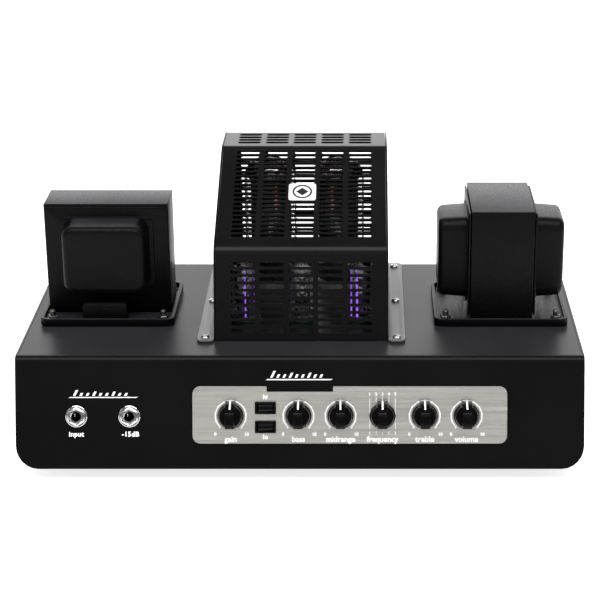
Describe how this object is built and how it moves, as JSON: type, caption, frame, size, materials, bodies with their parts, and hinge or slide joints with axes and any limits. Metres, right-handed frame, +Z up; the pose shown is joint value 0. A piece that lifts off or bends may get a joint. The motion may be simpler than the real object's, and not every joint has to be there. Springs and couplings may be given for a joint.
{
  "type": "guitar amplifier",
  "caption": "Valve bass amplifier head: a low black steel chassis with two transformers, a slotted valve cage, a brushed control plate, rotary knobs and rocker switches.",
  "frame": {"origin": "on the ground under the middle of the amplifier, feet standing on Z=0", "axes": "+X to the viewer's right along the front panel, -Y out of the front panel, +Z up"},
  "size_m": [0.406, 0.235, 0.199],
  "materials": {
    "chassis_paint": "satin black paint with a fine texture",
    "cage_paint": "satin black powder coat",
    "crinkle_paint": "crinkled black lacquer",
    "core_steel": "black lacquered laminations, satin",
    "brushed_plate": "horizontally brushed, warm grey",
    "foot_rubber": "matt",
    "knob_plastic": "moulded, glossy",
    "switch_plastic": "moulded, satin",
    "chrome": "polished plate",
    "screw_steel": "zinc plated",
    "valve_glass": "clear blown glass",
    "valve_metal": "dark carbonised electrodes and mica supports",
    "valve_base": "moulded phenolic",
    "heater_glow": "blue violet glow inside the valves",
    "socket_ceramic": "glazed, off white",
    "circuit_board": "solder resist",
    "pin_brass": "plated contacts",
    "printed_white": "screen printed ink and moulded white inlays"
  },
  "bodies": {
    "root": {"bottom_cover": "chassis_paint", "cage_screw_left_front": "screw_steel", "cage_screw_left_middle": "screw_steel", "cage_screw_left_rear": "screw_steel", "cage_screw_right_front": "screw_steel", "cage_screw_right_middle": "screw_steel", "cage_screw_right_rear": "screw_steel", "cage_side_left": "cage_paint", "cage_side_right": "cage_paint", "cage_wrap": "cage_paint", "chassis_shell": "chassis_paint", "control_board": "circuit_board", "control_plate": "brushed_plate", "foot_front_left": "foot_rubber", "foot_front_right": "foot_rubber", "foot_rear_left": "foot_rubber", "foot_rear_right": "foot_rubber", "high_boost_rocker_housing": "switch_plastic", "impedance_switch_body": "switch_plastic", "input_jack": "switch_plastic", "input_jack_nut": "chrome", "line_out_connector": "switch_plastic", "low_boost_rocker_housing": "switch_plastic", "main_board": "circuit_board", "mains_inlet": "switch_plastic", "mains_rocker_housing": "switch_plastic", "output_transformer_bell_front": "crinkle_paint", "output_transformer_bell_rear": "crinkle_paint", "output_transformer_core": "core_steel", "output_transformer_frame": "crinkle_paint", "pad_jack": "switch_plastic", "pad_jack_nut": "chrome", "power_transformer_bell_left": "crinkle_paint", "power_transformer_bell_right": "crinkle_paint", "power_transformer_core": "core_steel", "power_transformer_frame": "crinkle_paint", "power_valve_left": "valve_glass", "power_valve_right": "valve_glass", "power_valve_socket_left": "socket_ceramic", "power_valve_socket_right": "socket_ceramic", "preamp_valve_board": "circuit_board", "preamp_valve_left": "valve_glass", "preamp_valve_middle": "valve_glass", "preamp_valve_right": "valve_glass", "speaker_jack_one": "switch_plastic", "speaker_jack_two": "switch_plastic", "standby_rocker_housing": "switch_plastic"},
    "knob_gain": {"knob_gain": "knob_plastic"},
    "knob_bass": {"knob_bass": "knob_plastic"},
    "knob_midrange": {"knob_midrange": "knob_plastic"},
    "knob_frequency": {"knob_frequency": "knob_plastic"},
    "knob_treble": {"knob_treble": "knob_plastic"},
    "knob_volume": {"knob_volume": "knob_plastic"},
    "high_boost_rocker": {"high_boost_rocker": "knob_plastic"},
    "low_boost_rocker": {"low_boost_rocker": "knob_plastic"},
    "mains_rocker": {"mains_rocker": "knob_plastic"},
    "standby_rocker": {"standby_rocker": "knob_plastic"},
    "impedance_slider": {"impedance_slider": "knob_plastic"},
    "ground_lift_button": {"ground_lift_button": "knob_plastic"}
  },
  "joints": [
    {"name": "gain_turn", "type": "hinge", "parent": "root", "child": "knob_gain", "pos_m": [-0.0493, -0.10084, 0.04564], "axis": [0, 0.9563, -0.2924], "range_deg": [-140, 140]},
    {"name": "bass_turn", "type": "hinge", "parent": "root", "child": "knob_bass", "pos_m": [-0.001, -0.10084, 0.04564], "axis": [0, 0.9563, -0.2924], "range_deg": [-140, 140]},
    {"name": "midrange_turn", "type": "hinge", "parent": "root", "child": "knob_midrange", "pos_m": [0.029, -0.10084, 0.04564], "axis": [0, 0.9563, -0.2924], "range_deg": [-140, 140]},
    {"name": "frequency_turn", "type": "hinge", "parent": "root", "child": "knob_frequency", "pos_m": [0.0589, -0.10084, 0.04564], "axis": [0, 0.9563, -0.2924], "range_deg": [-60, 60]},
    {"name": "treble_turn", "type": "hinge", "parent": "root", "child": "knob_treble", "pos_m": [0.089, -0.10084, 0.04564], "axis": [0, 0.9563, -0.2924], "range_deg": [-140, 140]},
    {"name": "volume_turn", "type": "hinge", "parent": "root", "child": "knob_volume", "pos_m": [0.1188, -0.10084, 0.04564], "axis": [0, 0.9563, -0.2924], "range_deg": [-140, 140]},
    {"name": "high_boost_tip", "type": "hinge", "parent": "root", "child": "high_boost_rocker", "pos_m": [-0.0245, -0.09885, 0.0511], "axis": [0, -0.2924, -0.9563], "range_deg": [0, 18]},
    {"name": "low_boost_tip", "type": "hinge", "parent": "root", "child": "low_boost_rocker", "pos_m": [-0.0245, -0.10283, 0.0381], "axis": [0, -0.2924, -0.9563], "range_deg": [0, 18]},
    {"name": "mains_tip", "type": "hinge", "parent": "root", "child": "mains_rocker", "pos_m": [0.128, 0.1117, 0.046], "axis": [-1, 0, 0], "range_deg": [0, 18]},
    {"name": "standby_tip", "type": "hinge", "parent": "root", "child": "standby_rocker", "pos_m": [0.098, 0.1117, 0.046], "axis": [-1, 0, 0], "range_deg": [0, 18]},
    {"name": "impedance_slide", "type": "slide", "parent": "root", "child": "impedance_slider", "axis": [1, 0, 0], "range_m": [0, 0.0062]},
    {"name": "ground_lift_press", "type": "slide", "parent": "root", "child": "ground_lift_button", "axis": [0, -1, 0], "range_m": [0, 0.0025]}
  ]
}
